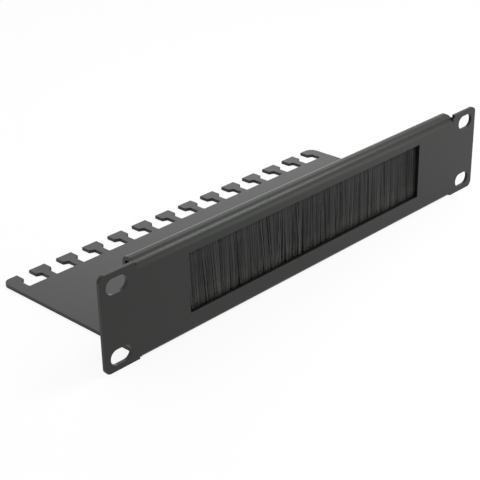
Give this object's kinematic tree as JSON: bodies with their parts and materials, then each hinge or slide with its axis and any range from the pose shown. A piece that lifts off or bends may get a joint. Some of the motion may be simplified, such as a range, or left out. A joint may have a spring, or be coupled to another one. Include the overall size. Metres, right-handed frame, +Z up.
{
  "type": "rack brush strip panel",
  "caption": "Folded steel rack panel with a brushed cable window, slotted ears and a rear lacing tray of T-shaped fingers.",
  "frame": {"origin": "on the faceplate's front face, at the middle of the four rack slots", "axes": "+X to the right seen from the front, +Y to the back along the lacing tray, +Z up"},
  "size_m": [0.254, 0.0943, 0.044],
  "materials": {
    "powder_coat": "fine-textured black powder coat, satin",
    "holder_steel": "galvanised strip, dull",
    "wire_steel": "drawn wire",
    "bristle_nylon": "black nylon filament, soft sheen"
  },
  "bodies": {
    "root": {"panel": "powder_coat", "brush_holder": "holder_steel", "core_wire": "wire_steel", "bristles": "bristle_nylon"}
  },
  "joints": []
}
